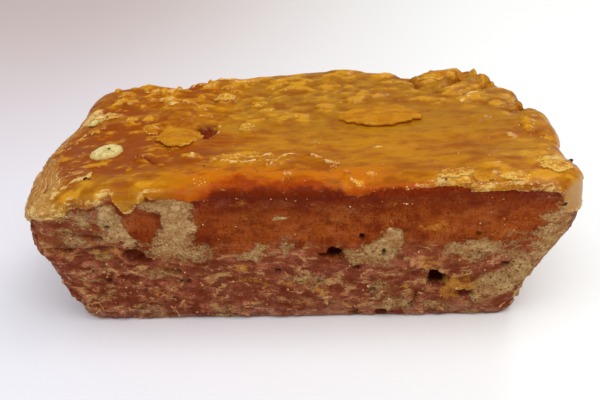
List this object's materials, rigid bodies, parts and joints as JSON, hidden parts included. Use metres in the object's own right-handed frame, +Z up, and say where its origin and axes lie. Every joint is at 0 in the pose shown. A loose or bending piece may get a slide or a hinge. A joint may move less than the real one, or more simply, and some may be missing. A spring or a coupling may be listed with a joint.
{
  "type": "jaggery block",
  "caption": "Moulded block of jaggery, tapered to its foot, with a rolled caramel skin, worn lobed corner and blow holes.",
  "frame": {"origin": "centre of the block's box, on the surface that it stands on", "axes": "+X along the block, to the right of its front wall; -Y out of the long front wall; +Z up through the top skin"},
  "size_m": [0.1704, 0.0896, 0.0588],
  "materials": {
    "jaggery": "set cane syrup: glossy caramel skin over rough red-brown crystalline walls"
  },
  "bodies": {
    "root": {"jaggery_block": "jaggery"}
  },
  "joints": []
}
